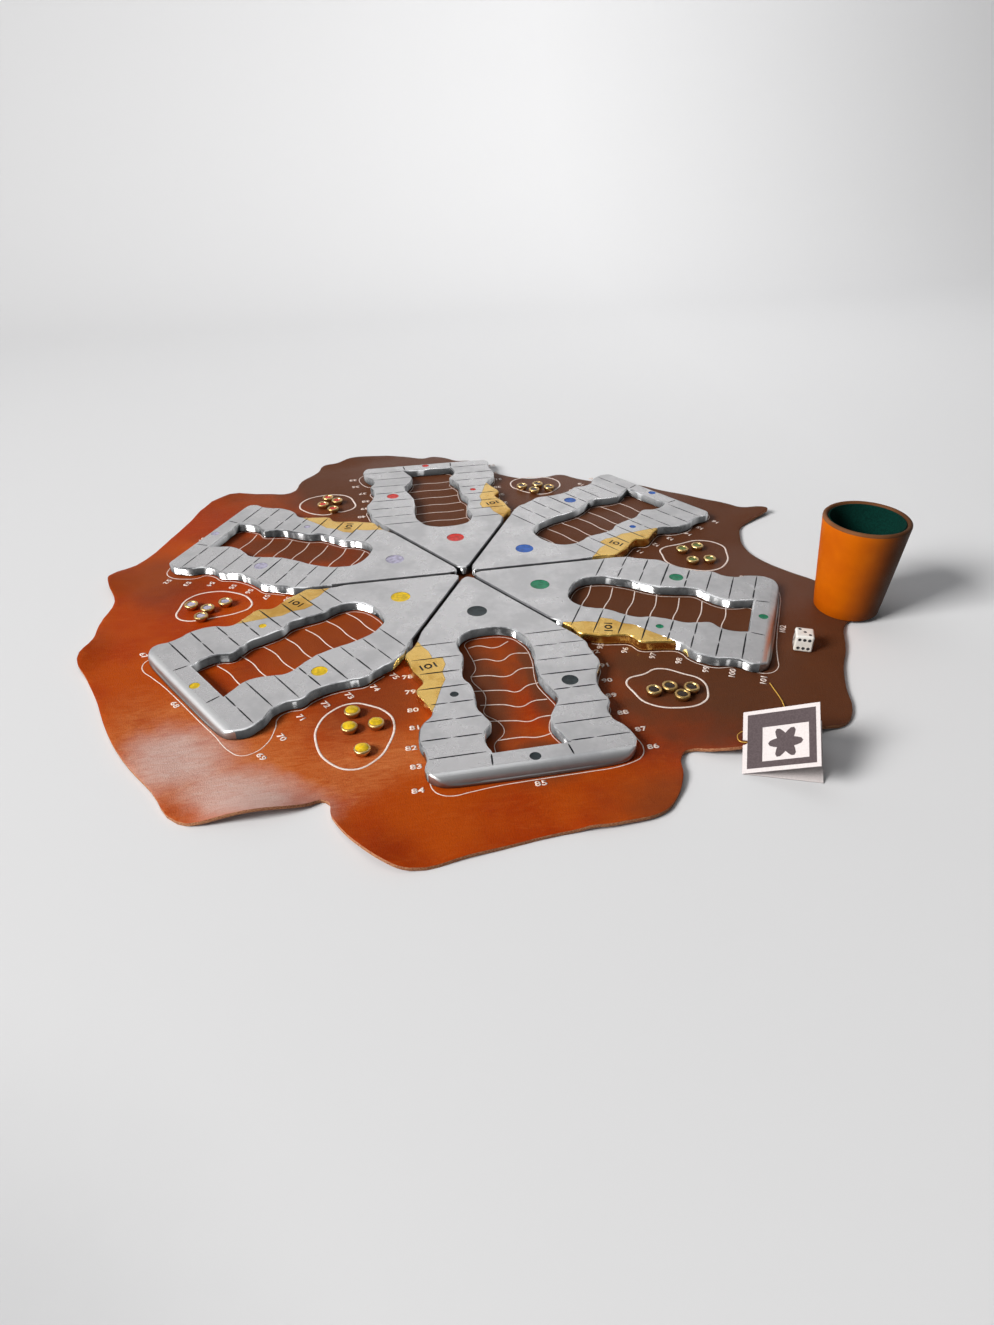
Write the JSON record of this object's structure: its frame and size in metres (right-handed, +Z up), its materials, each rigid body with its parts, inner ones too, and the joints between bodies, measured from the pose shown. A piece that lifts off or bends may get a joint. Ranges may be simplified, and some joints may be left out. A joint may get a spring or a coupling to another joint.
{
  "type": "pachisi board",
  "caption": "Six-player pachisi board: cast metal arms with inlaid patches and enamel dots on a leather hide, with tokens, a die, a dice cup and a hang tag.",
  "frame": {"origin": "centre of the star, on the table under the hide", "axes": "+Z up; -Y along the black arm, which faces the viewer; +X to the right"},
  "size_m": [0.7409, 0.7344, 0.0953],
  "materials": {
    "hide_leather": "saddle-brown leather with a soft sheen",
    "cast_aluminium": "satin top, polished edges",
    "patch_brass": "brushed gold-coloured brass",
    "token_brass": "dark antique brass with a bright rim",
    "die_white": "glossy white with black pips",
    "cup_leather": "smooth tan leather",
    "green_lining": "dark green felt",
    "tag_card": "white printed card",
    "gold_thread": "gold metallic thread",
    "enamel_black": "glossy enamel",
    "enamel_green": "glossy enamel",
    "enamel_blue": "glossy enamel",
    "enamel_red": "glossy enamel",
    "enamel_white": "pearly lilac enamel",
    "enamel_yellow": "glossy enamel"
  },
  "bodies": {
    "mat": {"leather_mat": "hide_leather", "hang_tag": "tag_card", "tag_thread": "gold_thread"},
    "arm_black": {"arm_black": "cast_aluminium", "brass_patch_black": "patch_brass", "home_dot_black": "enamel_black", "start_dot_black": "enamel_black"},
    "arm_green": {"arm_green": "cast_aluminium", "brass_patch_green": "patch_brass", "home_dot_green": "enamel_green", "start_dot_green": "enamel_green"},
    "arm_blue": {"arm_blue": "cast_aluminium", "brass_patch_blue": "patch_brass", "home_dot_blue": "enamel_blue", "start_dot_blue": "enamel_blue"},
    "arm_red": {"arm_red": "cast_aluminium", "brass_patch_red": "patch_brass", "home_dot_red": "enamel_red", "start_dot_red": "enamel_red"},
    "arm_white": {"arm_white": "cast_aluminium", "brass_patch_white": "patch_brass", "home_dot_white": "enamel_white", "start_dot_white": "enamel_white"},
    "arm_yellow": {"arm_yellow": "cast_aluminium", "brass_patch_yellow": "patch_brass", "home_dot_yellow": "enamel_yellow", "start_dot_yellow": "enamel_yellow"},
    "token_black_1": {"token_black_1": "token_brass"},
    "token_black_2": {"token_black_2": "token_brass"},
    "token_black_3": {"token_black_3": "token_brass"},
    "token_black_4": {"token_black_4": "token_brass"},
    "token_green_1": {"token_green_1": "token_brass"},
    "token_green_2": {"token_green_2": "token_brass"},
    "token_green_3": {"token_green_3": "token_brass"},
    "token_green_4": {"token_green_4": "token_brass"},
    "token_blue_1": {"token_blue_1": "token_brass"},
    "token_blue_2": {"token_blue_2": "token_brass"},
    "token_blue_3": {"token_blue_3": "token_brass"},
    "token_blue_4": {"token_blue_4": "token_brass"},
    "token_red_1": {"token_red_1": "token_brass"},
    "token_red_2": {"token_red_2": "token_brass"},
    "token_red_3": {"token_red_3": "token_brass"},
    "token_red_4": {"token_red_4": "token_brass"},
    "token_white_1": {"token_white_1": "token_brass"},
    "token_white_2": {"token_white_2": "token_brass"},
    "token_white_3": {"token_white_3": "token_brass"},
    "token_white_4": {"token_white_4": "token_brass"},
    "token_yellow_1": {"token_yellow_1": "token_brass"},
    "token_yellow_2": {"token_yellow_2": "token_brass"},
    "token_yellow_3": {"token_yellow_3": "token_brass"},
    "token_yellow_4": {"token_yellow_4": "token_brass"},
    "die": {"die": "die_white"},
    "cup": {"cup_wall": "cup_leather", "cup_floor": "cup_leather", "cup_lining": "green_lining"}
  },
  "joints": [
    {"name": "lift_arm_black", "type": "slide", "parent": "mat", "child": "arm_black", "axis": [0, 0, 1], "range_m": [0, 0.12]},
    {"name": "lift_arm_green", "type": "slide", "parent": "mat", "child": "arm_green", "axis": [0, 0, 1], "range_m": [0, 0.12]},
    {"name": "lift_arm_blue", "type": "slide", "parent": "mat", "child": "arm_blue", "axis": [0, 0, 1], "range_m": [0, 0.12]},
    {"name": "lift_arm_red", "type": "slide", "parent": "mat", "child": "arm_red", "axis": [0, 0, 1], "range_m": [0, 0.12]},
    {"name": "lift_arm_white", "type": "slide", "parent": "mat", "child": "arm_white", "axis": [0, 0, 1], "range_m": [0, 0.12]},
    {"name": "lift_arm_yellow", "type": "slide", "parent": "mat", "child": "arm_yellow", "axis": [0, 0, 1], "range_m": [0, 0.12]},
    {"name": "lift_token_black_1", "type": "slide", "parent": "mat", "child": "token_black_1", "axis": [0, 0, 1], "range_m": [0, 0.12]},
    {"name": "lift_token_black_2", "type": "slide", "parent": "mat", "child": "token_black_2", "axis": [0, 0, 1], "range_m": [0, 0.12]},
    {"name": "lift_token_black_3", "type": "slide", "parent": "mat", "child": "token_black_3", "axis": [0, 0, 1], "range_m": [0, 0.12]},
    {"name": "lift_token_black_4", "type": "slide", "parent": "mat", "child": "token_black_4", "axis": [0, 0, 1], "range_m": [0, 0.12]},
    {"name": "lift_token_green_1", "type": "slide", "parent": "mat", "child": "token_green_1", "axis": [0, 0, 1], "range_m": [0, 0.12]},
    {"name": "lift_token_green_2", "type": "slide", "parent": "mat", "child": "token_green_2", "axis": [0, 0, 1], "range_m": [0, 0.12]},
    {"name": "lift_token_green_3", "type": "slide", "parent": "mat", "child": "token_green_3", "axis": [0, 0, 1], "range_m": [0, 0.12]},
    {"name": "lift_token_green_4", "type": "slide", "parent": "mat", "child": "token_green_4", "axis": [0, 0, 1], "range_m": [0, 0.12]},
    {"name": "lift_token_blue_1", "type": "slide", "parent": "mat", "child": "token_blue_1", "axis": [0, 0, 1], "range_m": [0, 0.12]},
    {"name": "lift_token_blue_2", "type": "slide", "parent": "mat", "child": "token_blue_2", "axis": [0, 0, 1], "range_m": [0, 0.12]},
    {"name": "lift_token_blue_3", "type": "slide", "parent": "mat", "child": "token_blue_3", "axis": [0, 0, 1], "range_m": [0, 0.12]},
    {"name": "lift_token_blue_4", "type": "slide", "parent": "mat", "child": "token_blue_4", "axis": [0, 0, 1], "range_m": [0, 0.12]},
    {"name": "lift_token_red_1", "type": "slide", "parent": "mat", "child": "token_red_1", "axis": [0, 0, 1], "range_m": [0, 0.12]},
    {"name": "lift_token_red_2", "type": "slide", "parent": "mat", "child": "token_red_2", "axis": [0, 0, 1], "range_m": [0, 0.12]},
    {"name": "lift_token_red_3", "type": "slide", "parent": "mat", "child": "token_red_3", "axis": [0, 0, 1], "range_m": [0, 0.12]},
    {"name": "lift_token_red_4", "type": "slide", "parent": "mat", "child": "token_red_4", "axis": [0, 0, 1], "range_m": [0, 0.12]},
    {"name": "lift_token_white_1", "type": "slide", "parent": "mat", "child": "token_white_1", "axis": [0, 0, 1], "range_m": [0, 0.12]},
    {"name": "lift_token_white_2", "type": "slide", "parent": "mat", "child": "token_white_2", "axis": [0, 0, 1], "range_m": [0, 0.12]},
    {"name": "lift_token_white_3", "type": "slide", "parent": "mat", "child": "token_white_3", "axis": [0, 0, 1], "range_m": [0, 0.12]},
    {"name": "lift_token_white_4", "type": "slide", "parent": "mat", "child": "token_white_4", "axis": [0, 0, 1], "range_m": [0, 0.12]},
    {"name": "lift_token_yellow_1", "type": "slide", "parent": "mat", "child": "token_yellow_1", "axis": [0, 0, 1], "range_m": [0, 0.12]},
    {"name": "lift_token_yellow_2", "type": "slide", "parent": "mat", "child": "token_yellow_2", "axis": [0, 0, 1], "range_m": [0, 0.12]},
    {"name": "lift_token_yellow_3", "type": "slide", "parent": "mat", "child": "token_yellow_3", "axis": [0, 0, 1], "range_m": [0, 0.12]},
    {"name": "lift_token_yellow_4", "type": "slide", "parent": "mat", "child": "token_yellow_4", "axis": [0, 0, 1], "range_m": [0, 0.12]},
    {"name": "lift_die", "type": "slide", "parent": "mat", "child": "die", "axis": [0, 0, 1], "range_m": [0, 0.12]},
    {"name": "lift_cup", "type": "slide", "parent": "mat", "child": "cup", "axis": [0, 0, 1], "range_m": [0, 0.12]}
  ]
}
